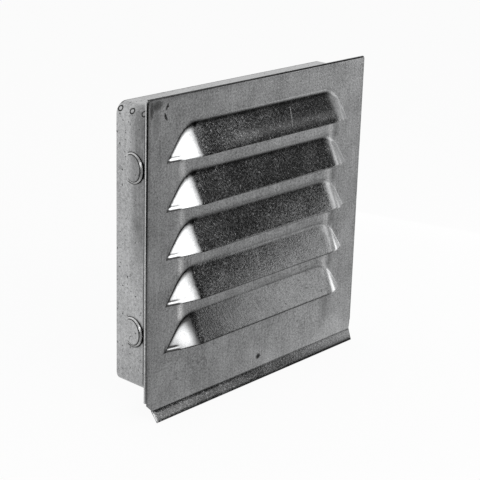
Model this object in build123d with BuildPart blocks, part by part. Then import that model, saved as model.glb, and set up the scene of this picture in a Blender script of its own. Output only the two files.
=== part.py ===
# Louvred wall vent in galvanised sheet steel. A front plate with pressed louvres and a drip lip is hemmed
# round the flange of a rectangular sleeve, and the sleeve goes into an opening in the wall.
# The origin is the middle of that opening, on the wall's face. +Y points into the wall and +Z up.

import os
from math import atan2, cos, radians, sin, tan

from build123d import *

# Sheet metal
sheet = 0.6
fold_gap = 0.05  # air left between two folded layers

# Sleeve, outside sizes
sleeve_width = 152.4
sleeve_height = 142.6
sleeve_depth = 23.4  # from the wall's face to the rear edge
sleeve_top_radius = 6.0
sleeve_bottom_radius = 5.0
flange_bend = 0.5  # outside radius where the flange turns out

# How far the plate reaches past the sleeve
side_margin = 4.3
top_margin = 5.7
bottom_margin = 8.1
hem_clearance = 0.4  # from the end of a hem to the flange's bend
hem_relief = 1.4  # width of the diagonal notch between two hems
corner_cut = 3.3  # 45 degree cut at the bottom corners
hem_stop = 1.6  # from the corner cut up to the side hem

# Drip lip along the bottom edge
lip_length = 6.0  # of the straight part
lip_angle = 41.0  # forward, from straight down
lip_bend = 0.8

# Louvres, each with its slit at height 0
louvre_rise = 17.4  # from the slit to the fold above it
louvre_strip = 6.65  # flat strip between a fold and the slit above
louvre_projection = 8.4  # of the lower front edge
louvre_lift = 2.2  # of the lower front edge above the slit
louvre_taper = 13.0  # from the slit's end in to the fold's end
louvre_nose = 14.2  # from the slit's end in to the lower front corner
louvre_bend = 10.0  # radius between the face and its end facets
louvre_fold = 6.0  # radius between the face and the flat above it
louvre_side_margin = 8.6  # from the sleeve's side to the slit's end
louvre_top_margin = 9.0  # from the sleeve's top to the first fold

# Round retaining barbs on the side walls, sheared round the front and bent out along a line behind the centre
barb_radius = 7.75
barb_hinge = 5.7  # from the barb's centre back to the bend line
barb_angle = 10.0
barb_spread = 41.5  # above and below the sleeve's middle
shear_gap = 0.15

# Spot welds on the upper left bend
weld_radius = 1.5
weld_ring = 0.45
weld_depth = 0.3
weld_pitch = 8.0
weld_edge = 1.9  # from the rear edge to the first weld
weld_angle = 32.0  # round the bend, up from the side wall
weld_count = 3

# Layers of the hem, from the front: plate, flange, the plate's own return
hem_depth = 3 * sheet + 2 * fold_gap
plate_front = -hem_depth
plate_back = plate_front + sheet
flange_front = plate_back + fold_gap
hem_radius = hem_depth / 2

# Outlines. The flat of the plate ends where the hems start to turn, and so does the flange
plate_half = sleeve_width / 2 + side_margin
plate_top = sleeve_height / 2 + top_margin
lip_fold = -sleeve_height / 2 - bottom_margin
flat_half = plate_half - hem_radius
flat_top = plate_top - hem_radius
flange_bottom = -sleeve_height / 2 - (flat_half - sleeve_width / 2)
hem_inner_gap = flange_bend + hem_clearance

# Louvre pattern, as many as the sleeve's height takes
louvre_pitch = louvre_rise + louvre_strip
first_slit = sleeve_height / 2 - louvre_top_margin - louvre_rise
louvre_count = 1 + int((first_slit + sleeve_height / 2) // louvre_pitch)
slit_points = [(0, 0, first_slit - i * louvre_pitch) for i in range(louvre_count)]
slit_half = sleeve_width / 2 - louvre_side_margin


def louvre_form(inset, back):
    # The block between the louvre's skin, its two end facets and the slanted plane of its open underside.
    # With an inset of one sheet it is the hollow behind the louvre.
    top = Vector(slit_half - louvre_taper, plate_front, louvre_rise)
    nose = Vector(slit_half - louvre_nose, plate_front - louvre_projection, louvre_lift)
    tip = Vector(slit_half, plate_front, 0)
    end = Plane(top, x_dir=nose - top, z_dir=(nose - top).cross(tip - top))
    underside = Plane(tip, x_dir=(1, 0, 0), z_dir=(0, louvre_lift, louvre_projection))
    lean = atan2(louvre_projection, louvre_rise - louvre_lift)
    crease = Vector(plate_front + inset, louvre_rise - inset * tan(lean / 2))
    with BuildPart() as form:
        with BuildSketch(Plane.YZ):
            with BuildLine():
                skin = FilletPolyline(
                    (crease.X, louvre_pitch),
                    crease,
                    crease - Vector(sin(lean), cos(lean)) * louvre_pitch,
                    radius=louvre_fold + inset,
                )
                Polyline(skin @ 1, (louvre_pitch, (skin @ 1).Y), (louvre_pitch, louvre_pitch), skin @ 0)
            make_face()
        extrude(amount=2 * slit_half)
        split(bisect_by=underside, keep=Keep.TOP)
        split(bisect_by=end.offset(-inset), keep=Keep.BOTTOM)
        ridge = form.edges().filter_by(Axis(top, nose - top)).sort_by(Axis.X)[-1]
        fillet(ridge, louvre_bend - inset)
        split(bisect_by=Plane.XZ.offset(-back), keep=Keep.TOP)
        mirror(about=Plane.YZ)
    return form.part


louvre_outside = louvre_form(0, plate_back)
louvre_hollow = louvre_form(sheet, plate_back + sheet)

with BuildPart() as front_plate:
    # Flat sheet with its bottom corners cut
    with BuildSketch(Plane.XZ.offset(-plate_back)) as flat:
        with Locations((0, lip_fold)):
            Rectangle(2 * flat_half, flat_top - lip_fold, align=(Align.CENTER, Align.MIN))
        chamfer(flat.vertices().group_by(Axis.Y)[0], corner_cut)
    extrude(amount=sheet)

    # Top hem, folded round to the back
    with BuildSketch(Plane.YZ):
        with BuildLine():
            turn = ThreePointArc((plate_front, flat_top), (-hem_radius, plate_top), (0, flat_top))
            Line(turn @ 1, (0, sleeve_height / 2 + hem_inner_gap))
            offset(amount=sheet, side=Side.RIGHT)
        make_face()
    extrude(amount=flat_half, both=True)

    # Side hems, which stop above the cut corners
    hem_foot = lip_fold + corner_cut + hem_stop
    with BuildSketch(Plane.XY.offset(hem_foot)):
        with BuildLine():
            turn = ThreePointArc((flat_half, plate_front), (plate_half, -hem_radius), (flat_half, 0))
            Line(turn @ 1, (sleeve_width / 2 + hem_inner_gap, 0))
            offset(amount=sheet, side=Side.LEFT)
        make_face()
        mirror(about=Plane.YZ)
    extrude(amount=flat_top - hem_foot)

    # Diagonal notches that part the hems at the top corners
    with BuildSketch(Plane.XZ):
        for side in (-1, 1):
            with Locations((side * flat_half, flat_top)):
                Rectangle(hem_relief, 4 * max(side_margin, top_margin), rotation=-45 * side)
    extrude(amount=-plate_back, mode=Mode.SUBTRACT)

    # Drip lip
    with BuildSketch(Plane.YZ):
        with BuildLine():
            bend = JernArc((plate_front, lip_fold), tangent=(0, -1), radius=lip_bend, arc_size=-lip_angle)
            PolarLine(bend @ 1, length=lip_length, direction=bend % 1)
            offset(amount=sheet, side=Side.LEFT)
        make_face()
    extrude(amount=flat_half - corner_cut, both=True)

    # Louvres pressed out of the flat
    with Locations(*slit_points):
        add(louvre_outside)
    with Locations(*slit_points):
        add(louvre_hollow, mode=Mode.SUBTRACT)

with BuildPart() as sleeve:
    # Solid outline and flange, with the bend between them, then the passage through both
    front_plane = Plane.XZ.offset(-flange_front)
    with BuildSketch(front_plane) as outline:
        Rectangle(sleeve_width, sleeve_height)
        fillet(outline.vertices().group_by(Axis.Y)[-1], sleeve_top_radius)
        fillet(outline.vertices().group_by(Axis.Y)[0], sleeve_bottom_radius)
    extrude(amount=-(sleeve_depth - flange_front))
    with BuildSketch(front_plane):
        with Locations((0, flange_bottom)):
            Rectangle(2 * flat_half, flat_top - flange_bottom, align=(Align.CENTER, Align.MIN))
    extrude(amount=-sheet)
    flange_back = sleeve.faces().filter_by(Axis.Y).sort_by(Axis.Y)[1]
    fillet(flange_back.inner_wires()[0].edges(), flange_bend)
    with BuildSketch(front_plane):
        offset(outline.sketch_local, amount=-sheet)
    extrude(amount=-(sleeve_depth - flange_front), mode=Mode.SUBTRACT)
    flange_face = sleeve.faces().filter_by(Axis.Y).sort_by(Axis.Y)[0]
    fillet(flange_face.inner_wires()[0].edges(), flange_bend + sheet)

    # Barbs, half way along the depth of each side wall. Each circle is kept only ahead of its bend line
    barb_heights = (barb_spread, -barb_spread)
    ahead_size = (3 * barb_radius, 3 * barb_spread)
    ahead_align = (Align.MIN, Align.CENTER)
    for side in (-1, 1):
        wall_x = side * sleeve_width / 2
        wall = Plane((wall_x, sleeve_depth / 2, 0), x_dir=(0, -1, 0), z_dir=(side, 0, 0))
        with BuildSketch(wall):
            with Locations(*[(0, z) for z in barb_heights]):
                Circle(barb_radius)
            with Locations((sheet - barb_hinge, 0)):
                Rectangle(*ahead_size, align=ahead_align, mode=Mode.INTERSECT)
        extrude(amount=-sheet, mode=Mode.SUBTRACT)
        rise = sin(radians(barb_angle))
        run = cos(radians(barb_angle))
        bend_line = (wall_x, sleeve_depth / 2 + barb_hinge, 0)
        with BuildSketch(Plane(bend_line, x_dir=(side * rise, -run, 0), z_dir=(side * run, rise, 0))):
            with Locations(*[(barb_hinge, z) for z in barb_heights]):
                Circle(barb_radius - shear_gap)
            Rectangle(*ahead_size, align=ahead_align, mode=Mode.INTERSECT)
        extrude(amount=-sheet)

    # Ring marks of the spot welds
    corner = Vector(sleeve_top_radius - sleeve_width / 2, 0, sleeve_height / 2 - sleeve_top_radius)
    outward = Vector(-cos(radians(weld_angle)), 0, sin(radians(weld_angle)))
    for i in range(weld_count):
        along = Vector(0, sleeve_depth - weld_edge - i * weld_pitch, 0)
        centre = corner + outward * sleeve_top_radius + along
        with BuildSketch(Plane(centre, x_dir=(0, 1, 0), z_dir=outward)):
            Circle(weld_radius)
            Circle(weld_radius - weld_ring, mode=Mode.SUBTRACT)
        extrude(amount=-weld_depth, mode=Mode.SUBTRACT)

os.makedirs("parts", exist_ok=True)
front_plate.part.label = "front_plate"
export_step(front_plate.part, "parts/front_plate.step")
sleeve.part.label = "sleeve"
export_step(sleeve.part, "parts/sleeve.step")
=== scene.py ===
# Louvred wall vent in galvanised sheet: the looks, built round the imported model.
# The frame is the model's own: metres, +Y into the wall, +Z up. Shapes are worked out in millimetres.
import math
import bmesh
import bpy
import numpy as np
from mathutils import Matrix, Vector


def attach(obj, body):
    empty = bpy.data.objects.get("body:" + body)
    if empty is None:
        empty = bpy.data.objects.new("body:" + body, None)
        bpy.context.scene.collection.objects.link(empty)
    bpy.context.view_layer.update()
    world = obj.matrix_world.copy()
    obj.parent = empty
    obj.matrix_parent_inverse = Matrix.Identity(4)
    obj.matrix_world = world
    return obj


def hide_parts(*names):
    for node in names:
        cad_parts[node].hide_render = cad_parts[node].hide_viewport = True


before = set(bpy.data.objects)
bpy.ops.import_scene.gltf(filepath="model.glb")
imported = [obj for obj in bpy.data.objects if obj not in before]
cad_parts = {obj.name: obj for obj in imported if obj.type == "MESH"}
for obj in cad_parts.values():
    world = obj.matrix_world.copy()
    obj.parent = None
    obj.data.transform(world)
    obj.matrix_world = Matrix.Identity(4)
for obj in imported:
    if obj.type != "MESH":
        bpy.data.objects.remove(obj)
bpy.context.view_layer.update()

scene = bpy.context.scene
scene.view_settings.view_transform = "Standard"
mm = 0.001
quarter = math.pi / 2
print("frame loaded:", ", ".join(sorted(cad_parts)))


# Shader maths

class Tap:
    # a node socket that takes part in expressions; each operation adds its Math node
    def __init__(self, tree, socket=None):
        self.tree = tree
        self.socket = socket

    def node(self, kind, settings=None, inputs=None, output=0):
        # adds a node, with its settings first and then the values or links of its sockets
        made = self.tree.nodes.new(kind)
        for key, value in (settings or {}).items():
            setattr(made, key, value)
        for key, value in (inputs or {}).items():
            if isinstance(value, Tap):
                self.tree.links.new(value.socket, made.inputs[key])
            else:
                made.inputs[key].default_value = value
        return Tap(self.tree, made.outputs[output] if made.outputs else None)

    def math(self, operation, a, b=0.0):
        return self.node("ShaderNodeMath", {"operation": operation}, {0: a, 1: b})

    def __add__(self, other):
        return self.math("ADD", self, other)

    def __radd__(self, other):
        return self.math("ADD", other, self)

    def __sub__(self, other):
        return self.math("SUBTRACT", self, other)

    def __rsub__(self, other):
        return self.math("SUBTRACT", other, self)

    def __mul__(self, other):
        return self.math("MULTIPLY", self, other)

    def __rmul__(self, other):
        return self.math("MULTIPLY", other, self)

    def __neg__(self):
        return self.math("MULTIPLY", self, -1.0)

    def __abs__(self):
        return self.math("ABSOLUTE", self)

    def lower(self, other):
        return self.math("MINIMUM", self, other)

    def upper(self, other):
        return self.math("MAXIMUM", self, other)

    def smooth(self, low, high):
        # 0 below low, 1 above high, with an eased step between them
        settings = {"interpolation_type": "SMOOTHSTEP"}
        return self.node("ShaderNodeMapRange", settings, {0: self, 1: low, 2: high, 3: 0.0, 4: 1.0})

    def fade(self, low, high):
        # the same step turned round: 1 below low, 0 above high
        return 1 - self.smooth(low, high)

    def parts(self):
        # the x, y and z of a vector
        split = self.node("ShaderNodeSeparateXYZ", {}, {0: self}).socket.node
        return [Tap(self.tree, socket) for socket in split.outputs]

    def scaled(self, x, y, z):
        return self.node("ShaderNodeMapping", {"vector_type": "POINT"}, {"Vector": self, "Scale": (x, y, z)})

    def noise(self, scale, detail, roughness):
        inputs = {"Vector": self, "Scale": scale, "Detail": detail, "Roughness": roughness}
        return self.node("ShaderNodeTexNoise", {"noise_dimensions": "3D"}, inputs)

    def blend(self, first, second):
        # a colour between two, with this value as the share of the second
        return self.node("ShaderNodeMix", {"data_type": "RGBA"}, {0: self, 6: first, 7: second}, 2)


def emptyTree(owner):
    # a material or world with its nodes cleared, ready for expressions
    owner.use_nodes = True
    owner.node_tree.nodes.clear()
    return Tap(owner.node_tree)


def grey(level, warm=0.0):
    return (level * (1 + warm), level, level * (1 - warm), 1)


# Curves used by the shapes and their marks

def ease(t):
    t = np.clip(t, 0, 1)
    return t * t * (3 - 2 * t)


def step(t, start, length):
    # 0 before the start, 1 from the length on, eased between; a negative length runs the other way
    return ease((t - start) / length)


def bell(t, middle, width):
    # 1 at the middle, falling off on both sides within about the width
    return np.exp(-((t - middle) / width) ** 2)


def softMin(a, b, k):
    # the smaller of two, with a round of size k where they meet
    return np.minimum(a, b) - np.maximum(k - np.abs(a - b), 0) ** 2 / (4 * k)


def softMax(a, b, k):
    return np.maximum(a, b) + np.maximum(k - np.abs(a - b), 0) ** 2 / (4 * k)


# Sheet meshes

sheetLook = {
    "sheet": 0.6, "edgeRound": 0.1, "edgeSteps": 2,
    "join": 0.004,      # points nearer than this become one
    "shortest": 0.01,   # an edge below this closes up
    "roundFrom": 60.0,  # edges that turn more than this get the small round
    "sharpFrom": 38.0,  # and those above this are shaded sharp
}


def gridFaces(rows, cols, start):
    # four corners of every cell of a rows x cols grid, anticlockwise with columns to the right and rows up
    index = start + np.arange(rows * cols).reshape(rows, cols)
    return np.stack([index[:-1, :-1], index[:-1, 1:], index[1:, 1:], index[1:, :-1]], -1).reshape(-1, 4)


def skin(x, y, z, mark=0.0, press=0.0):
    # points of a grid with two values each. Mark is painted shade or, below 0, a painted highlight that
    # makes the metal lighter and less metallic; on the welds it is their own dark ring and lighter centre.
    # Press adds grain or, below 0, takes it away
    return np.stack(np.broadcast_arrays(x, y, z, mark, press), -1)


def sheetPiece(name, grids, drop=()):
    # joins point grids into one open skin: points that coincide become one vertex, cells that collapse go,
    # then the skin gets the sheet's thickness inwards and its cut edges a small round
    v = sheetLook
    points = np.concatenate([g.reshape(-1, 5) for g in grids])
    starts = np.cumsum([0] + [g.shape[0] * g.shape[1] for g in grids])
    faces = [gridFaces(g.shape[0], g.shape[1], s) for g, s in zip(grids, starts)]
    for i, gone in drop:
        faces[i] = faces[i][~gone]
    faces = np.concatenate(faces)
    key = np.round(points[:, :3] / v["join"]).astype(np.int64)
    first, inverse = np.unique(key, axis=0, return_index=True, return_inverse=True)[1:]
    faces = inverse.reshape(-1)[faces]
    kept = faces != np.roll(faces, -1, axis=1)
    corners = kept.sum(1)
    quads = faces[corners == 4]
    tris = faces[corners == 3][kept[corners == 3]].reshape(-1, 3)
    mesh = bpy.data.meshes.new(name)
    mesh.from_pydata((points[first, :3] * mm).tolist(), [], quads.tolist() + tris.tolist())
    for channel, values in zip(("mark", "press"), points[first, 3:].T):
        attribute = mesh.attributes.new(channel, "FLOAT", "POINT")
        attribute.data.foreach_set("value", np.ascontiguousarray(values))
    mesh.validate()
    openSkin = bpy.data.objects.new(name + "Skin", mesh)
    scene.collection.objects.link(openSkin)
    wall = openSkin.modifiers.new("wall", "SOLIDIFY")
    wall.thickness = v["sheet"] * mm
    wall.offset = -1
    wall.use_quality_normals = True
    edge = openSkin.modifiers.new("edge", "BEVEL")
    edge.width = v["edgeRound"] * mm
    edge.segments = v["edgeSteps"]
    edge.limit_method = "ANGLE"
    edge.angle_limit = math.radians(v["roundFrom"])
    done = bpy.data.meshes.new_from_object(openSkin.evaluated_get(bpy.context.evaluated_depsgraph_get()))
    bpy.data.objects.remove(openSkin)
    bpy.data.meshes.remove(mesh)
    done.name = name
    closed = bmesh.new()
    closed.from_mesh(done)
    bmesh.ops.dissolve_degenerate(closed, dist=v["shortest"] * mm, edges=closed.edges)
    closed.to_mesh(done)
    closed.free()
    done.polygons.foreach_set("use_smooth", np.ones(len(done.polygons), bool))
    done.set_sharp_from_angle(angle=math.radians(v["sharpFrom"]))
    piece = bpy.data.objects.new(name, done)
    scene.collection.objects.link(piece)
    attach(piece, "root")
    print(name, "faces", len(done.polygons))
    return piece


# Front plate: one sheet with louvres pressed out of it, folded back at three edges and forward at the lip

plateLook = {
    "front": -1.9, "halfFlat": 79.55, "topFlat": 76.05, "lipFold": -79.4, "evenTo": 42.0,
    "cornerCut": 3.3, "rightCut": 0.15,  # the right corner has this share of the cut
    "hemRadius": 0.95, "hemFoot": -74.5, "sideReturn": 77.1, "topReturn": 72.2,
    "mitreGap": 0.99, "mitreReach": 9.0,
    "lipBend": 0.8, "lipAngle": 41.0, "lipLength": 6.0, "lipTaper": 2.6,
    # unevenness: its size, then where it starts inwards from the sides, the top and the bottom
    "wave": 0.07, "waveSide": (72, -14), "waveTop": (70, -12), "waveFoot": (-74, 10),
    # painted shade and highlights, a darker streak and the lip's grain, as a strength and where it lies
    "borderDark": 0.3, "borderSide": (77.5, 2), "borderTop": (74, 2),
    "footStreak": 0.42, "footStreakSide": (56, 5), "footStreakUp": (-74, 14),
    "foldDark": 0.75, "foldFront": (-1.1, 0.42), "foldHighlight": 0.5, "foldOutside": (0.15, 0.5),
    "topDark": 1.0, "topFront": (-0.8, 0.6), "topHighlight": 0.25, "topOutside": (0.4, 0.4),
    "bendDark": 0.4, "bendLine": (0.9, -0.9), "cutDark": 0.95, "cutLine": (-1.0, 0.5),
    "lipHighlight": 0.45, "highlightSide": (35, -110), "highlightDown": (0.6, 0.8),
    "lipShade": 0.55, "shadeSide": (-10, 60), "shadeDown": (1.5, 4), "lipGrain": 0.6, "grainDown": (0, 0.6),
}
louvreLook = {
    "firstSlit": 44.9, "pitch": 24.05, "count": 5, "rise": 17.4, "projection": 8.4, "lift": 2.2,
    "halfSlit": 67.6, "taper": 13.0, "nose": 14.2, "slitEdge": 0.3,
    # how round the ridge and the crease are, from the slit up to the top and how fast that changes
    "ridge": 4.0, "ridgeTop": 5.8, "ridgePower": 2.5, "crease": 0.2, "fold": 0.95, "foldPower": 1.5,
    "foldHeight": 1.7, "foldShare": 0.3,
    # where face, facet and ridge pass into each other, in ridge widths from the facet to the face
    "faceFrom": (0.42, 0.6), "facetTo": (-0.2, 1.0), "ridgeFrom": (-0.4, 1.0), "ridgeTo": (0.5, 0.35),
    # painted shade and highlights on the face, the facets and the folds, painted sheen and reflections on
    # the flat, and where the grain is smoothed or strong
    "creaseDark": 0.9, "edgeDark": 0.75, "edgeOut": (0, 0.6), "foldLine": (-0.6, 1.4),
    "facetSmooth": 0.85, "facetOut": (0, 0.8), "grainOut": (0, 1.5),
    "ridgeShade": 0.75, "shadeAround": 1.3, "brightSide": (-57.5, 5.5), "brightUp": (6.5, 6.0),
    "faceSheen": 0.2, "sheenUp": (6.5, 2.2), "sheenSide": (-40, 20),
    "stripFoot": (13, 4), "stripTop": (0.5, -2), "leftSheen": (-57.2, 2.0),
    "endSheen": 0.35, "endLight": (53.5, 2.0), "endDark": 0.4, "endShadow": (58.5, 2.2),
    # painted shade and highlight at the edge near a left tip: a dark line, a light crescent, a dark outline
    "tipReach": 8.0, "tipEase": 3.0, "tipDark": 0.9, "tipLine": (2.0, 0.4), "tipHighlight": 0.7,
    "tipCrescent": (1.3, 0.35), "tipOutline": 1.8, "outlineUp": (0, 0.7), "tipPast": 0.5,
    # from the top louvre down: grain, painted shade on the left facet, painted shade at the fold, painted
    # sheen above it
    "each": [
        (0.8, 0.0, 0.8, 0.0), (1.0, 0.0, 0.8, 0.35), (0.9, 0.04, 0.7, 0.4), (0.7, 0.28, 0.3, 0.6),
        (0.3, 0.62, 0.12, 0.85),
    ],
}


def louvre(x, up):
    # how far the louvre stands out at x and at a height above its slit: the sloping face or the slanted
    # end facet, whichever is lower, joined along a ridge that widens upwards, and to the plate by the fold.
    # Also how much of the place belongs to the face, the crease round the facet, the facet and the ridge
    v = louvreLook
    lean = v["projection"] / (v["rise"] - v["lift"])
    run = v["projection"] / (v["nose"] - v["lift"] * v["taper"] / v["rise"])
    face = (v["rise"] - up) * lean
    facet = run * (v["halfSlit"] - np.abs(x)) - run * v["taper"] / v["rise"] * up
    height = np.clip(up / v["rise"], 0, 1)
    ridge = v["ridge"] + (v["ridgeTop"] - v["ridge"]) * height ** v["ridgePower"]
    turn = v["crease"] + (v["fold"] - v["crease"]) * height ** v["foldPower"]
    body = softMin(face, facet, ridge)
    past = (facet - face) / ridge                     # below 0 on the facet, above 0 on the face
    onFace = step(past, *v["faceFrom"])
    onFacet = 1 - step(past, *v["facetTo"])
    onCrease = bell(body, 0.12, 0.22 + 0.55 * turn) * onFacet
    onRidge = step(past, *v["ridgeFrom"]) * (1 - step(past, *v["ridgeTo"]))
    return softMax(body, 0, turn), onFace, onCrease, onFacet, onRidge


def plateWave(x, z):
    # the slight unevenness of pressed sheet: the sum of three long slanted sine waves, lifted so that it
    # only goes inwards, dying out at the plate's border
    v = plateLook
    border = step(np.abs(x), *v["waveSide"]) * step(z, *v["waveTop"]) * step(z, *v["waveFoot"])
    long = np.sin(x / 17 + z / 41 + 0.6) + 0.7 * np.sin(z / 9.5 - x / 33)
    long = long + 0.5 * np.sin(x / 8.3 + z / 14 + 2)
    return v["wave"] * border * (2.2 + long)


def plateColumns():
    # x of the plate's columns, closest over the ends of the louvres
    v, n = plateLook, louvreLook
    half = np.concatenate([
        np.linspace(0, v["evenTo"], 15), np.linspace(v["evenTo"], n["halfSlit"], 45)[1:],
        np.linspace(n["halfSlit"], v["halfFlat"], 8)[1:],
    ])
    return np.concatenate([-half[:0:-1], half])[None, :]


def underTip(x):
    # the columns by a left tip, whose slit edge gets painted shade
    n = louvreLook
    near = step(np.abs(x), n["halfSlit"] - n["tipReach"], n["tipEase"])
    return near * (np.abs(x) < n["halfSlit"] + n["tipPast"]) * (x < 0)


def louvreMarks(i, x, up, low, out, shares):
    # the painted shade and highlights of one louvre and the flat above it, and its grain, all but what lies
    # at the plate's border
    n = louvreLook
    onFace, onCrease, onFacet, onRidge = shares
    grain, facetShade, foldDark, sheen = n["each"][i]
    left = x < 0
    raised = step(out, *n["facetOut"])
    # painted shade in the crease round the left facet
    mark = n["creaseDark"] * onCrease * (np.abs(x) < n["halfSlit"]) * left
    # painted shade: the left facets darken towards the ridge, and the lower ones all round a brighter middle
    middle = bell(x, *n["brightSide"]) * bell(up, *n["brightUp"])
    facetMark = n["ridgeShade"] * onRidge + facetShade * (n["shadeAround"] - middle) * onFacet
    mark = mark + facetMark * raised * left
    # painted shade along the fold at the louvre's top
    mark = mark + foldDark * bell(up - n["rise"], *n["foldLine"]) * (1 - onFacet)
    press = grain * step(out, *n["grainOut"]) * onFace - n["facetSmooth"] * onFacet * raised
    # painted shade and highlight along the left facet's lower edge near its tip, where the edge curls
    nearTip = step(np.abs(x), n["halfSlit"] - n["tipReach"], n["tipEase"]) * (out > 0.05) * left
    aboveEdge = up - low
    mark = mark + nearTip * n["tipDark"] * bell(aboveEdge, *n["tipLine"])
    mark = mark - nearTip * n["tipHighlight"] * bell(aboveEdge, *n["tipCrescent"])
    mark = mark + nearTip * n["tipOutline"] * bell(aboveEdge, *n["outlineUp"])
    return mark, press, nearTip, sheen


def louvreGrid(i, x):
    # one louvre from its lower edge up to the next slit, or to the top hem above the first louvre
    v, n = plateLook, louvreLook
    inSlit = np.abs(x) < n["halfSlit"]
    crease = n["rise"] * np.clip((n["halfSlit"] - np.abs(x)) / n["taper"], 0, 1)
    # its lower edge lies on the slanted plane through tip and nose, found by going round a few times
    low = np.zeros_like(crease)
    for again in range(12):
        low = n["lift"] / n["projection"] * louvre(x, low)[0] * inSlit
    slit = n["firstSlit"] - i * n["pitch"]
    top = np.full_like(crease, n["pitch"] if i else v["topFlat"] - slit)
    soft = np.minimum(n["foldHeight"], n["foldShare"] * (crease - low))
    rows = [low + (crease - soft - low) * t for t in np.linspace(0, 1, 17)]
    rows += [crease + soft * t for t in np.linspace(-1, 1, 9)[1:]]
    rows += [crease + soft + (top - crease - soft) * t for t in np.linspace(0, 1, 6 if i else 10)[1:-1]]
    rows += [top - n["slitEdge"], top] if i else [top]
    up = np.concatenate(rows)
    across = np.broadcast_to(x, up.shape)
    out, *shares = louvre(across, up)
    out = out * inSlit
    out[-1] = 0
    z = up + slit
    mark, press, nearTip, sheen = louvreMarks(i, across, up, low, out, shares)
    # painted shade along the plate's sides and top, where it curves into the hems
    mark = mark + v["borderDark"] * (step(np.abs(across), *v["borderSide"]) + step(z, *v["borderTop"]))
    # painted shade along the louvre's lower cut edge
    mark[0] = np.maximum(n["edgeDark"] * step(out[0], *n["edgeOut"]), nearTip[0])
    if i == 0:
        # a painted highlight: a lighter streak along the top louvre's face
        streak = bell(up, *n["sheenUp"]) * step(across, *n["sheenSide"]) * shares[0]
        mark = mark - n["faceSheen"] * streak
    else:
        # a painted sheen on the flat beside the upper end of the left facet, and a painted reflection of the
        # right end of the louvre above: a light streak with a dark one beside it
        strip = step(up, *n["stripFoot"]) * step(up - n["pitch"], *n["stripTop"])
        mark = mark - sheen * strip * bell(across, *n["leftSheen"])
        mark = mark - n["endSheen"] * strip * bell(across, *n["endLight"])
        mark = mark + n["endDark"] * strip * bell(across, *n["endShadow"])
        mark[-1] = np.maximum(mark[-1], underTip(x)[0])
    return skin(across, v["front"] - out + plateWave(across, z), z, mark, press)


def footGrid(x):
    # the flat below the last slit, narrowing where the bottom corners are cut
    v, n = plateLook, louvreLook
    lastSlit = n["firstSlit"] - (n["count"] - 1) * n["pitch"]
    levels = np.concatenate([
        np.linspace(v["lipFold"], v["lipFold"] + v["cornerCut"], 4), [v["hemFoot"]],
        np.linspace(v["hemFoot"], lastSlit, 11)[1:-1], [lastSlit - n["slitEdge"], lastSlit],
    ])[:, None]
    cut = np.maximum(v["lipFold"] + v["cornerCut"] - levels, 0)
    cut = cut * np.where(x > 0, v["rightCut"], 1)
    across = x * (v["halfFlat"] - cut) / v["halfFlat"]
    z = np.broadcast_to(levels, across.shape)
    # painted shade along the plate's sides, where it curves into the hems
    mark = v["borderDark"] * step(np.abs(across), *v["borderSide"])
    # a darker streak below the last louvre's right end
    mark = mark + v["footStreak"] * bell(across, *v["footStreakSide"]) * step(z, *v["footStreakUp"])
    mark[-1] = np.maximum(mark[-1], underTip(x)[0])
    return skin(across, v["front"] + plateWave(across, z), z, mark)


def hemGrids(x, grids):
    # the right, left and top hems: half a turn round the fold, then the return lies flat behind; where two
    # hems meet, the returns are cut at 45 degrees
    v = plateLook
    turn = np.linspace(-90, 90, 19) * math.pi / 180
    lay = 3
    side = np.unique(np.round(np.concatenate([g[:, -1, 2] for g in grids]), 6))
    side = side[side >= v["hemFoot"] - 1e-6][:, None]
    reach = np.linspace(v["halfFlat"], v["sideReturn"], lay + 1)[1:]
    hemX = np.concatenate([v["halfFlat"] + v["hemRadius"] * np.cos(turn), reach])[None, :]
    hemY = np.concatenate([v["hemRadius"] * (np.sin(turn) - 1), np.zeros(lay)])[None, :]
    behind = ease((hemY - v["front"] / 2) / 0.3)
    # painted shade along the front of the fold and a painted highlight on its outside
    around = np.concatenate([turn, np.full(lay, 3.0)])[None, :]
    foldShading = v["foldDark"] * bell(around, *v["foldFront"]) - v["foldHighlight"] * bell(around, *v["foldOutside"])
    mitre = (v["topFlat"] - v["mitreGap"] + hemX - v["halfFlat"]) * behind + v["topFlat"] * (1 - behind)
    upper = v["topFlat"] - v["mitreReach"]            # above this the rows close up to the mitre
    hemZ = np.where(side > upper, upper + (side - upper) * (mitre - upper) / (v["topFlat"] - upper), side)
    right = skin(hemX, hemY, hemZ, foldShading)
    left = (right * [-1, 1, 1, 1, 1])[:, ::-1]
    reach = np.linspace(v["topFlat"], v["topReturn"], lay + 1)[1:]
    hemZ = np.concatenate([v["topFlat"] + v["hemRadius"] * np.cos(turn), reach])[:, None]
    hemY, behind, around = hemY.T, behind.T, around.T
    mitre = (v["halfFlat"] - v["mitreGap"] + hemZ - v["topFlat"]) * behind + v["halfFlat"] * (1 - behind)
    # the same painted shade and highlight on the top hem's fold
    foldShading = v["topDark"] * bell(around, *v["topFront"]) - v["topHighlight"] * bell(around, *v["topOutside"])
    return [right, left, skin(x * mitre / v["halfFlat"], hemY, hemZ, foldShading)]


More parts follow.
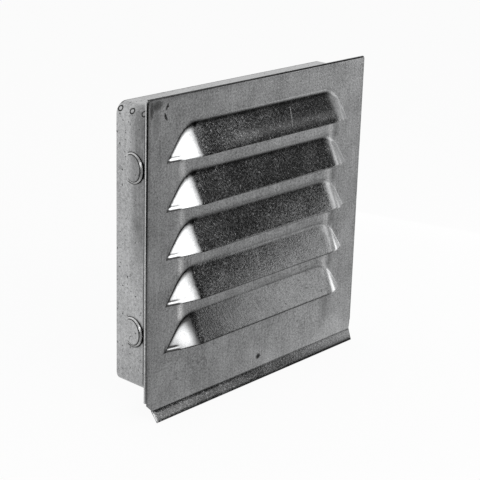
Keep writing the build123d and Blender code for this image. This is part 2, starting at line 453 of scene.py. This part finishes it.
def lipGrid(x):
    # a small bend, then straight down and forward, with rows close together at the bend and the cut edge
    v = plateLook
    swing = np.linspace(0, math.radians(v["lipAngle"]), 6)
    lipY = v["front"] - v["lipBend"] * (1 - np.cos(swing))
    lipZ = v["lipFold"] - v["lipBend"] * np.sin(swing)
    run = np.concatenate([
        [0.4], np.linspace(0, v["lipLength"] - 0.75, 7)[1:], v["lipLength"] - np.array([0.5, 0.25, 0]),
    ])
    lipY = np.concatenate([lipY, lipY[-1] - run * math.sin(swing[-1])])[::-1, None]
    lipZ = np.concatenate([lipZ, lipZ[-1] - run * math.cos(swing[-1])])[::-1, None]
    below = np.concatenate([np.zeros(6), run])[::-1, None]
    slanted = v["cornerCut"] * v["rightCut"] + v["lipTaper"] * below / v["lipLength"]
    lipX = x * (v["halfFlat"] - np.where(x > 0, slanted, v["cornerCut"])) / v["halfFlat"]
    # painted shade along the bend and the cut edge, a painted highlight towards the left and painted shade
    # towards the right
    mark = v["bendDark"] * step(below, *v["bendLine"])
    mark = mark + v["cutDark"] * step(below - v["lipLength"], *v["cutLine"])
    mark = mark - v["lipHighlight"] * step(lipX, *v["highlightSide"]) * step(below, *v["highlightDown"])
    mark = mark + v["lipShade"] * step(lipX, *v["shadeSide"]) * step(below, *v["shadeDown"])
    return skin(lipX, lipY, lipZ, mark, v["lipGrain"] * step(below, *v["grainDown"]))


def plateGrids():
    x = plateColumns()
    grids = [footGrid(x)] + [louvreGrid(i, x) for i in range(louvreLook["count"])]
    return grids + hemGrids(x, grids) + [lipGrid(x)]


frontPlate = sheetPiece("frontPlate", plateGrids())
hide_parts("front_plate")


# Sleeve: a rounded outline carried back from its flange, with sheared barbs and weld marks let into the wall

sleeveLook = {
    "halfWide": 76.2, "halfHigh": 71.3, "depth": 23.4, "topRadius": 6.0, "bottomRadius": 5.0,
    "flangeBend": 0.5, "flangeBack": -0.65, "flangeSide": 79.55, "flangeTop": 76.05, "flangeBottom": 74.65,
    # painted shade by the flange, the top a little darker, with a line of painted shade along its rear edge
    "flangeDark": 0.85, "flangeLine": (5.1, -0.9), "topDark": 0.1, "topStart": (4, 4), "topEnd": (0, -6),
    "rearDark": 0.8, "rearLine": (-1.0, 0.6),
}
barbLook = {
    "radius": 7.75, "square": 8.75, "lines": 15, "hinge": 5.7, "angle": 10.0, "spread": 41.5, "gap": 0.15,
    "soft": 1.0, "dish": 0.3, "dishReach": 0.5, "shearDark": 0.9, "shearReach": 0.3,
    # rows of the flap, from the sheared side painted dark for the shade in the gap, up the slanted rim with
    # a painted highlight, round the rolled edge painted dark and over the face: share of the radius, share
    # of its height below the face, mark
    "rim": [
        (1, 0.92, 1), (1, 0.8, 1), (0.99, 0.68, 1), (0.975, 0.58, -0.6), (0.905, 0.22, -0.6),
        (0.89, 0.15, 1), (0.86, 0.05, 1), (0.835, 0.02, 0.7), (0.8, 0, 0),
    ],
    "faceFrom": 0.73, "faceRows": 8,
}
weldLook = {
    "radius": 1.75, "square": 1.85, "lines": 11, "pitch": 8.0, "edge": 1.9, "angle": 32.0, "count": 3,
    "groove": 1.4, "width": 0.42, "depth": 0.1, "dark": 1.0, "darkGain": 1.5, "centre": 0.3,
}

halfWide, halfHigh = sleeveLook["halfWide"], sleeveLook["halfHigh"]
topRadius, lowRadius = sleeveLook["topRadius"], sleeveLook["bottomRadius"]
# runs of the outline, anticlockwise as seen from behind: start point, heading, length, bend radius
outlineRuns = [
    ((-halfWide + lowRadius, -halfHigh), math.pi, 0, 0),
    ((-halfWide + lowRadius, -halfHigh), math.pi, lowRadius * quarter, lowRadius),
    ((-halfWide, -halfHigh + lowRadius), quarter, 2 * halfHigh - topRadius - lowRadius, 0),
    ((-halfWide, halfHigh - topRadius), quarter, topRadius * quarter, topRadius),
    ((-halfWide + topRadius, halfHigh), 0.0, 2 * (halfWide - topRadius), 0),
    ((halfWide - topRadius, halfHigh), 0.0, topRadius * quarter, topRadius),
    ((halfWide, halfHigh - topRadius), -quarter, 2 * halfHigh - topRadius - lowRadius, 0),
    ((halfWide, -halfHigh + lowRadius), -quarter, lowRadius * quarter, lowRadius),
    ((halfWide - lowRadius, -halfHigh), -math.pi, 2 * (halfWide - lowRadius), 0),
]
runStart = np.cumsum([0] + [r[2] for r in outlineRuns])
leftRun, leftEnd, rightRun = runStart[2], runStart[3], runStart[6]


def outline(s):
    # at a length s along the outline: the bend's centre, its radius and the direction out of the sleeve;
    # on a straight run the radius is nothing and the centre is the point itself
    which = np.clip(np.searchsorted(runStart, s, side="right") - 1, 0, len(outlineRuns) - 1)
    table = np.array([(*r[0], r[1], r[3]) for r in outlineRuns])[which]
    along = s - runStart[which]
    heading, radius = table[..., 2], table[..., 3]
    bent = radius > 0
    inX, inZ = np.sin(heading), -np.cos(heading)      # to the right of the heading is the inside
    cx = np.where(bent, table[..., 0] + radius * inX, table[..., 0] + along * np.cos(heading))
    cz = np.where(bent, table[..., 1] + radius * inZ, table[..., 1] + along * np.sin(heading))
    swing = np.where(bent, along / np.where(bent, radius, 1), 0)
    facing = heading + quarter - swing
    return cx, cz, radius, np.cos(facing), np.sin(facing)


def onSleeve(s, y, out, mark=0.0):
    cx, cz, radius, nx, nz = outline(s)
    return skin(cx + (radius + out) * nx, y, cz + (radius + out) * nz, mark)


def roundPatch(sLines, yLines, s0, y0, square, radius):
    # rings that pass from the square left out of the wall's grid to a circle inside it
    s = sLines[np.abs(sLines - s0) < square + 1e-3]
    y = yLines[np.abs(yLines - y0) < square + 1e-3]
    border = np.concatenate([
        np.stack([s, np.full_like(s, y[0])], -1), np.stack([np.full_like(y, s[-1]), y], -1)[1:],
        np.stack([s, np.full_like(s, y[-1])], -1)[-2::-1], np.stack([np.full_like(y, s[0]), y], -1)[-2::-1],
    ]) - [s0, y0]
    angle = np.arctan2(border[:, 1], border[:, 0])
    circle = radius * np.stack([np.cos(angle), np.sin(angle)], -1)
    t = np.linspace(0, 1, 9)[:, None, None] ** 0.6
    return border + (circle - border) * t, angle


def flangeShade(y):
    return sleeveLook["flangeDark"] * step(y, *sleeveLook["flangeLine"])


def barbPatch(sLines, yLines, s0, y0):
    # the wall round one barb, pulled out a little and given painted shade where the flap is sheared, and the
    # flap, which turns out ahead of its bend line
    b = barbLook
    ring, angle = roundPatch(sLines, yLines, s0, y0, b["square"], b["radius"])
    gap = np.hypot(ring[..., 0], ring[..., 1]) - b["radius"]
    shear = ease((b["hinge"] - b["soft"] - ring[-1, :, 1]) / 2)
    shear[shear < 0.05] = 0
    dish = b["dish"] * np.exp(-gap / b["dishReach"]) * shear
    dish[0] = 0
    wallMark = b["shearDark"] * np.exp(-gap / b["shearReach"]) * shear + flangeShade(y0 + ring[..., 1])
    rows = np.array(b["rim"] + [(t, 0, 0) for t in np.linspace(b["faceFrom"], 0, b["faceRows"])])
    share, drop, flapMark = rows.T[:, :, None]
    rim = b["radius"] - b["gap"] * shear
    flapS, flapY = share * rim * np.cos(angle), y0 + share * rim * np.sin(angle)
    ahead = y0 + b["hinge"] - flapY
    bent = np.where(ahead > b["soft"], ahead, np.maximum(ahead + b["soft"], 0) ** 2 / (4 * b["soft"]))
    tilt = math.radians(b["angle"])
    raised = bent * math.sin(tilt) * (1 - drop * shear)
    wall = onSleeve(ring[..., 0] + s0, ring[..., 1] + y0, dish, wallMark)
    flap = onSleeve(flapS + s0, flapY + bent * (1 - math.cos(tilt)), raised, flapMark * shear)
    return np.concatenate([wall, flap])


def weldPatches(sLines, yLines, s0, y0):
    # the wall round one spot weld, and the weld: a shallow dark ring round a brighter centre
    w = weldLook
    ring, angle = roundPatch(sLines, yLines, s0, y0, w["square"], w["radius"])
    reach = np.concatenate([np.linspace(w["radius"], 0.8, 12), [0.5, 0.0]])[:, None]
    groove = bell(reach, w["groove"], w["width"])
    groove[0] = 0
    mark = w["dark"] * np.minimum(w["darkGain"] * groove, 1) - w["centre"] * step(reach, 1.0, -0.4)
    weld = onSleeve(s0 + reach * np.cos(angle), y0 + reach * np.sin(angle), -w["depth"] * groove ** 2, mark)
    return [onSleeve(ring[..., 0] + s0, ring[..., 1] + y0, 0.0), weld]


def flangeGrids(sLines):
    # the front end turns out into the flange that the plate's hems hold
    v = sleeveLook
    turn = np.linspace(0, quarter, 5)[:, None]
    bend = onSleeve(sLines[None, :], v["flangeBack"] + v["flangeBend"] * (1 - np.sin(turn)),
                    v["flangeBend"] * (1 - np.cos(turn)))
    cx, cz, radius, nx, nz = outline(sLines)
    wideX = radius + v["flangeSide"] - halfWide
    wideZ = radius + np.where(nz > 0, v["flangeTop"] - halfHigh, v["flangeBottom"] - halfHigh)
    rimX = cx + wideX * np.clip(math.sqrt(2) * nx, -1, 1)
    rimZ = cz + wideZ * np.clip(math.sqrt(2) * nz, -1, 1)
    rim = skin(rimX, v["flangeBack"], rimZ)
    flange = np.stack([bend[-1] + (rim - bend[-1]) * t for t in np.linspace(0, 1, 3)])
    return [bend[::-1], flange[::-1]]


def sleeveGrids():
    v, b, w = sleeveLook, barbLook, weldLook
    barbS = [leftRun + halfHigh - lowRadius + z for z in (-b["spread"], b["spread"])]
    barbS += [rightRun + halfHigh - topRadius - z for z in (-b["spread"], b["spread"])]
    weldS = leftEnd + math.radians(w["angle"]) * topRadius
    weldY = [v["depth"] - w["edge"] - i * w["pitch"] for i in range(w["count"])]
    barbY = v["depth"] / 2
    # lines round the outline, closer on the bends; only a patch's own lines cross it
    lines = []
    for start, end, run in zip(runStart[:-1], runStart[1:], outlineRuns):
        spacing = 0.8 if run[3] else 4.0
        lines.append(np.linspace(start, end, max(2, int((end - start) / spacing) + 1)))
    sLines = np.concatenate(lines)
    patches = [(s, b["square"], b["lines"]) for s in barbS] + [(weldS, w["square"], w["lines"])]
    for s, square, count in patches:
        clear = np.abs(sLines - s) > square + 0.05
        sLines = np.concatenate([sLines[clear], np.linspace(s - square, s + square, count)])
    sLines = np.unique(np.round(sLines, 5))
    lines = [np.linspace(v["flangeBack"] + v["flangeBend"], v["depth"], 12)]
    lines += [v["depth"] - np.array([0.3, 0.9])]
    lines += [np.linspace(barbY - b["square"], barbY + b["square"], b["lines"])]
    lines += [np.linspace(y - w["square"], y + w["square"], 9) for y in weldY]
    yLines = np.unique(np.round(np.concatenate(lines), 5))
    gridS, gridY = np.meshgrid(sLines, yLines)
    # painted shade by the flange and a line of painted shade along the top's rear edge; the top a little
    # darker
    onTop = step(gridS - leftEnd, *v["topStart"]) * step(gridS - rightRun, *v["topEnd"])
    topMark = v["topDark"] + v["rearDark"] * step(gridY - v["depth"], *v["rearLine"])
    wallGrid = onSleeve(gridS, gridY, 0.0, flangeShade(gridY) + onTop * topMark)
    # the wall's grid is left out where a patch goes
    midS = (gridS[:-1, :-1] + gridS[1:, 1:]) / 2
    midY = (gridY[:-1, :-1] + gridY[1:, 1:]) / 2
    gone = np.zeros(midS.shape, bool)
    grids = [wallGrid]
    for s0 in barbS:
        gone |= (np.abs(midS - s0) < b["square"]) & (np.abs(midY - barbY) < b["square"])
        grids.append(barbPatch(sLines, yLines, s0, barbY))
    for y0 in weldY:
        gone |= (np.abs(midS - weldS) < w["square"]) & (np.abs(midY - y0) < w["square"])
        grids += weldPatches(sLines, yLines, weldS, y0)
    return grids + flangeGrids(sLines), [(0, gone.reshape(-1))]


ventSleeve = sheetPiece("ventSleeve", *sleeveGrids())
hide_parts("sleeve")


# Zinc: satin metal with a fine crystal grain, cloudy patches, drawn streaks and small dark pits

zincLook = {
    "cool": -0.008, "dirtAndShade": 0.025, "bareAndHighlightDark": 0.6, "bareAndHighlightLight": 0.95, "bareAndHighlightMetal": 0.7,
    # how much of the tone is grain, fine grain, cloud and streak, and what pressing adds to the first two
    "tone": (1.7, 1.3, 0.9, 0.6), "pressTone": (0.3, 0.2), "smoothTone": 0.45,
    "roughLeast": 0.12, "roughGrain": 0.35, "roughCloud": 0.16, "roughPit": 0.2,
    "pitScale": 0.55, "pitRange": 0.06, "pitDepth": 0.3, "bumpDepth": 0.05, "bumpGain": 20, "ragged": 2.4,
}
plateZinc = {
    "light": 0.56, "dark": 0.20, "rough": 0.19, "grain": 1.0, "bump": 0.04, "pressBump": 0.045,
    "pits": 0.3, "pitStart": 0.70, "band": 0.0,
    # dirt and scuffs, then scratches: middle x and z, turn in degrees, half length, half width, strength
    "scuffs": [
        (-67.6, 72.2, 60, 2.4, 0.95, 1.0), (-68.6, 67.6, -68, 2.8, 1.1, 1.0),
        (-74.0, 73.5, 10, 5.5, 3.4, 0.7), (-77.6, 72.0, 88, 6.0, 1.5, 0.75),
        (1.7, -73.6, 15, 2.3, 2.0, 1.0), (-74.5, 65.0, 85, 9.0, 3.5, 0.3),
    ],
    "scratches": [(16.5, 54.5, 71, 6.2, 0.4, 0.55), (-5.0, -17.2, 79, 5.3, 0.35, 0.4)],
}
sleeveZinc = {
    "light": 0.56, "dark": 0.26, "rough": 0.30, "grain": 0.9, "bump": 0.04, "pressBump": 0.0,
    "pits": 0.75, "pitStart": 0.68, "band": 0.8, "bandUp": (-25, 20), "bandBack": (8, 16),
    "scuffs": [], "scratches": [],
}


def turnedPatch(x, z, midX, midZ, angle, long, wide):
    # places along and across a turned ellipse, each 1 at its border
    c, t = math.cos(math.radians(angle)), math.sin(math.radians(angle))
    u, w = x - midX, z - midZ
    return (u * c + w * t) * (1 / long), (w * c - u * t) * (1 / wide)


def zinc(name, look):
    v = zincLook
    material = bpy.data.materials.new(name)
    net = emptyTree(material)
    place = net.node("ShaderNodeTexCoord", output=3).scaled(1000, 1000, 1000)
    x, y, z = place.parts()
    mark = net.node("ShaderNodeAttribute", {"attribute_name": "mark"}, output=2)
    press = net.node("ShaderNodeAttribute", {"attribute_name": "press"}, output=2)
    grain = place.noise(look["grain"], 2.0, 0.6) - 0.5
    fine = place.noise(look["grain"] * 2.1, 1.0, 0.5) - 0.5
    cloud = place.noise(0.06, 3.0, 0.55) - 0.5
    streak = place.scaled(0.8, 0.5, 0.03).noise(1.0, 2.0, 0.6) - 0.5
    pit = place.noise(v["pitScale"], 1.0, 0.4).smooth(look["pitStart"], look["pitStart"] + v["pitRange"])
    pit = pit * (1 + press).lower(1.0)
    grainTone, fineTone, cloudTone, streakTone = v["tone"]
    grainPress, finePress = v["pressTone"]
    tone = 0.5 + (grainTone + grainPress * press) * grain + (fineTone + finePress * press) * fine
    tone = tone + cloudTone * cloud + streakTone * streak
    tone = (tone + v["smoothTone"] * (-press).upper(0.0)).upper(0.0).lower(1.0)
    colour = tone.blend(grey(look["dark"], v["cool"]), grey(look["light"], v["cool"]))
    dirtAndShade = pit * look["pits"]
    if look["band"]:
        # a darker, cloudy band up the front of the wall
        patchy = (0.65 + 2.0 * cloud + 1.2 * streak).upper(0.0)
        band = z.smooth(*look["bandUp"]) * y.fade(*look["bandBack"]) * patchy
        dirtAndShade = dirtAndShade.upper(look["band"] * band)
    for *where, strength in look["scuffs"]:
        along, across = turnedPatch(x + v["ragged"] * grain, z + v["ragged"] * fine, *where)
        dirtAndShade = dirtAndShade.upper(strength * (along * along + across * across).fade(0.05, 1.0))
    # the mark's painted shade darkens to the same colour as dirt and pits
    dirtAndShade = dirtAndShade.upper(mark).upper(0.0)
    colour = dirtAndShade.blend(colour, grey(v["dirtAndShade"]))
    # below 0 the mark is a painted highlight, lighter and less metallic, like the scratches' bared metal
    bareAndHighlight = (-mark).upper(0.0)
    for *where, strength in look["scratches"]:
        along, across = turnedPatch(x, z, *where)
        bareAndHighlight = bareAndHighlight.upper(strength * abs(along).fade(0.6, 1.0) * abs(across).fade(0.2, 1.0))
    colour = bareAndHighlight.blend(colour, tone.blend(grey(v["bareAndHighlightDark"]), grey(v["bareAndHighlightLight"])))
    rough = look["rough"] + v["roughGrain"] * grain + v["roughCloud"] * cloud + v["roughPit"] * pit
    relief = (look["bump"] + look["pressBump"] * press) * v["bumpGain"]
    height = (0.6 * grain + 0.4 * fine) * relief - v["pitDepth"] * pit
    depth = v["bumpDepth"] * mm
    bump = net.node("ShaderNodeBump", {}, {"Strength": 1.0, "Distance": depth, "Height": height})
    shader = net.node("ShaderNodeBsdfPrincipled", {}, {
        "Base Color": colour, "Metallic": 1 - v["bareAndHighlightMetal"] * bareAndHighlight,
        "Roughness": rough.upper(v["roughLeast"]), "Normal": bump,
    })
    net.node("ShaderNodeOutputMaterial", {}, {"Surface": shader})
    return material


for piece, name, look in ((frontPlate, "plateZinc", plateZinc), (ventSleeve, "sleeveZinc", sleeveZinc)):
    piece.data.materials.clear()
    piece.data.materials.append(zinc(name, look))
print("materials done")


# Stage: pale floor, soft lamps and a dim room

stageLook = {
    "floor": -0.0850, "floorSize": 3.0, "floorTone": 0.8, "cameraWhite": 0.93, "paper": 0.97,
    "floorFront": 0.5, "floorLift": 0.16, "floorShade": 0.93, "room": 0.45, "dark": 0.04,
    # name, azimuth (0 in front, positive to the right), elevation, distance, width, height, power
    "lamps": [
        ("keyBox", -15, 32, 1.1, 1.4, 0.72, 8.8), ("lowCard", 62, 10.5, 0.36, 0.26, 0.075, 0.045),
        ("topBox", 45, 52, 0.5, 0.25, 0.22, 0.3), ("rightStrip", 105, -11, 0.31, 0.3, 0.05, 0.045),
    ],
}


def makeFloor():
    v = stageLook
    t = np.linspace(-v["floorSize"], v["floorSize"], 2)
    x, y = np.meshgrid(t, t)
    points = np.stack([x, y, np.full_like(x, v["floor"])], -1).reshape(-1, 3)
    mesh = bpy.data.meshes.new("floor")
    mesh.from_pydata(points.tolist(), [], gridFaces(2, 2, 0).tolist())
    floor = bpy.data.objects.new("floor", mesh)
    scene.collection.objects.link(floor)
    material = bpy.data.materials.new("paleFloor")
    net = emptyTree(material)
    x, y, z = net.node("ShaderNodeTexCoord", output=3).parts()
    camera = net.node("ShaderNodeLightPath", output=0)
    glossy = net.node("ShaderNodeLightPath", output=3)
    through = net.node("ShaderNodeLightPath", output=6)
    # what metal sees of it: white paper behind the vent, greyer in front and in shade towards the camera
    depth = 0.74 * x + 0.67 * y
    front = v["floorFront"] + v["floorLift"] * depth.smooth(0.0, 0.15)
    front = front * (1 - v["floorShade"] * depth.fade(-0.32, -0.14))
    behind = y.smooth(-0.05, 0.09).upper((y + 0.4 * x).smooth(-0.05, 0.07))
    paper = front + behind * (v["paper"] - front)
    seen = (camera + glossy + through).lower(1.0)
    level = camera + (1 - camera) * paper
    share = camera * v["cameraWhite"] + (1 - camera) * seen
    plain = net.node("ShaderNodeBsdfDiffuse", {}, {"Color": grey(v["floorTone"])})
    lit = net.node("ShaderNodeEmission", {}, {"Color": level.blend(grey(0), grey(1)), "Strength": 1.0})
    mixed = net.node("ShaderNodeMixShader", {}, {0: share, 1: plain, 2: lit})
    net.node("ShaderNodeOutputMaterial", {}, {"Surface": mixed})
    mesh.materials.append(material)


def makeRoom():
    v = stageLook
    world = bpy.data.worlds.new("room")
    scene.world = world
    net = emptyTree(world)
    x, y, z = net.node("ShaderNodeTexCoord", output=0).parts()
    camera = net.node("ShaderNodeLightPath", output=0)
    # white behind the vent, dim in front, and dark where the louvres' faces look
    behind = y.smooth(-0.05, 0.4)
    shade = (1.2 * z - 0.8 * x).smooth(-0.47, -0.35) * (-y).smooth(0.2, 0.5)
    room = v["room"] + behind * (1 - v["room"])
    room = room * (1 - shade) + shade * v["dark"]
    level = camera + (1 - camera) * room
    lit = net.node("ShaderNodeBackground", {}, {"Color": level.blend(grey(0), grey(1)), "Strength": 1.0})
    net.node("ShaderNodeOutputWorld", {}, {"Surface": lit})


def softbox(name, azimuth, elevation, distance, wide, high, power):
    # an area lamp that faces the vent from that side and height
    a, e = math.radians(azimuth), math.radians(elevation)
    spot = Vector((math.sin(a) * math.cos(e), -math.cos(a) * math.cos(e), math.sin(e))) * distance
    lamp = bpy.data.lights.new(name, "AREA")
    lamp.shape = "RECTANGLE"
    lamp.size = wide
    lamp.size_y = high
    lamp.energy = power
    holder = bpy.data.objects.new(name, lamp)
    holder.location = spot
    holder.rotation_euler = spot.to_track_quat("Z", "Y").to_euler()
    holder.visible_camera = False
    scene.collection.objects.link(holder)


makeFloor()
makeRoom()
for lampRow in stageLook["lamps"]:
    softbox(*lampRow)
print("stage done")


# Camera at the photograph's angle, with its slight roll

cameraLook = {
    "place": (-0.513122, -0.450998, 0.222046), "lens": 105.224, "sensor": 36.0, "near": 0.01, "far": 50.0,
    "right": (0.676296, -0.736124, 0.027293), "down": (-0.218663, -0.235997, -0.946832),
    "ahead": (0.703427, 0.634371, -0.320567),
}
lens = bpy.data.cameras.new("camera")
lens.sensor_width = cameraLook["sensor"]
lens.lens = cameraLook["lens"]
lens.clip_start = cameraLook["near"]
lens.clip_end = cameraLook["far"]
viewer = bpy.data.objects.new("camera", lens)
upward = [-c for c in cameraLook["down"]]
backward = [-c for c in cameraLook["ahead"]]
turned = Matrix((cameraLook["right"], upward, backward)).transposed()
viewer.matrix_world = Matrix.Translation(cameraLook["place"]) @ turned.to_4x4()
scene.collection.objects.link(viewer)
scene.camera = viewer
print("camera done")
